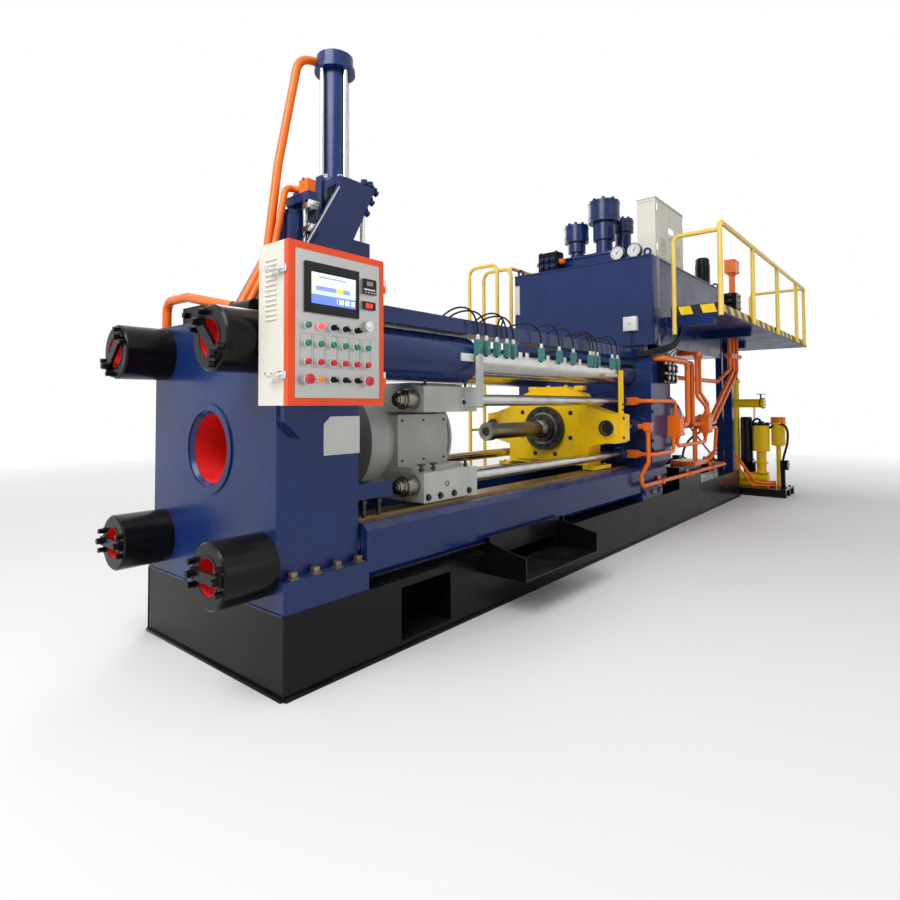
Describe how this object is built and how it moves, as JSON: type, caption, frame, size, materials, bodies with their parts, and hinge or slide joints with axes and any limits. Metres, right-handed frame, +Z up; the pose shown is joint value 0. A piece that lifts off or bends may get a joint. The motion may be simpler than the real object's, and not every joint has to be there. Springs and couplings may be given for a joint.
{
  "type": "aluminum extrusion press",
  "caption": "Horizontal four-column hydraulic extrusion press on a box base, with container, crosshead and stem, shear, tank, pump deck and a swing-door operator panel.",
  "frame": {"origin": "centre of the base's footprint, on the floor", "axes": "+X along the press axis from the profile exit to the pumps, -Y the operator's side, +Z up"},
  "size_m": [8.45, 2.882, 3.277],
  "materials": {
    "press_blue": "gloss enamel",
    "base_black": "gloss black enamel",
    "bright_steel": "ground and polished",
    "dark_steel": "machined, oiled",
    "guide_bronze": "worn bronze strip",
    "container_silver": "silver paint",
    "crosshead_yellow": "gloss enamel",
    "cabinet_cream": "textured powder coat",
    "door_orange": "textured powder coat",
    "rail_yellow": "gloss enamel",
    "rail_aluminium": "mill finish",
    "pipe_orange": "gloss enamel",
    "filter_yellow": "gloss enamel",
    "switch_teal": "satin enamel",
    "gauge_white": "satin enamel"
  },
  "bodies": {
    "root": {"base_near_beam": "base_black", "base_far_beam": "base_black", "base_cross_members": "base_black", "base_step_tray": "base_black", "front_platen": "press_blue", "tie_rods": "bright_steel", "tie_rod_nuts": "base_black", "nut_keeper_bars": "base_black", "upper_rod_sleeves": "press_blue", "lower_guide_beams": "press_blue", "guide_strips": "guide_bronze", "cable_trough": "press_blue", "die_holder": "dark_steel", "shear_bracket": "press_blue", "shear_cylinder": "press_blue", "shear_guide_rods": "bright_steel", "clamp_cylinder": "press_blue", "rear_platen": "press_blue", "main_cylinder": "press_blue", "side_cylinders": "press_blue", "container_cylinders": "press_blue", "oil_tank_shell": "press_blue", "oil_tank_lid": "press_blue", "tank_hatch": "press_blue", "prefill_cylinders": "press_blue", "electrical_cabinet": "cabinet_cream", "service_platform": "press_blue", "platform_columns": "press_blue", "near_handrail": "rail_yellow", "far_handrail": "rail_yellow", "toe_boards": "rail_yellow", "control_panel_box": "cabinet_cream", "panel_bracket": "press_blue", "limit_switch_rail": "rail_aluminium", "limit_switches": "switch_teal", "pump_skid": "base_black", "pressure_pipes": "pipe_orange", "manifold_blocks": "pipe_orange", "valve_blocks": "base_black", "pump_units": "base_black", "return_filters": "filter_yellow", "tank_gauges": "gauge_white"},
    "container": {"container_housing": "container_silver", "container_rods": "bright_steel", "container_rod_nuts": "bright_steel", "container_shoes": "guide_bronze", "container_striker": "container_silver"},
    "crosshead": {"crosshead": "crosshead_yellow", "ram_stem": "bright_steel", "stem_clamp_ring": "dark_steel", "main_ram": "bright_steel", "side_rods": "bright_steel", "crosshead_striker": "crosshead_yellow"},
    "shear": {"shear_block": "press_blue", "shear_blade": "bright_steel", "shear_rod": "bright_steel"},
    "panel_door": {"panel_door": "door_orange", "panel_controls": "rail_aluminium"},
    "speed_knob": {"speed_knob": "rail_aluminium"}
  },
  "joints": [
    {"name": "container_slide", "type": "slide", "parent": "root", "child": "container", "axis": [1, 0, 0], "range_m": [-0.105, 0.25]},
    {"name": "crosshead_slide", "type": "slide", "parent": "root", "child": "crosshead", "axis": [1, 0, 0], "range_m": [-1.525, 0]},
    {"name": "shear_slide", "type": "slide", "parent": "root", "child": "shear", "axis": [0, 0, -1], "range_m": [0, 0.58]},
    {"name": "panel_door_hinge", "type": "hinge", "parent": "root", "child": "panel_door", "pos_m": [-3.108, -0.8, 1.5], "axis": [0, 0, 1], "range_deg": [0, 110]},
    {"name": "speed_knob_turn", "type": "hinge", "parent": "panel_door", "child": "speed_knob", "pos_m": [-3.222, -0.8, 1.54], "axis": [0, -1, 0], "range_deg": [-135, 135]}
  ]
}
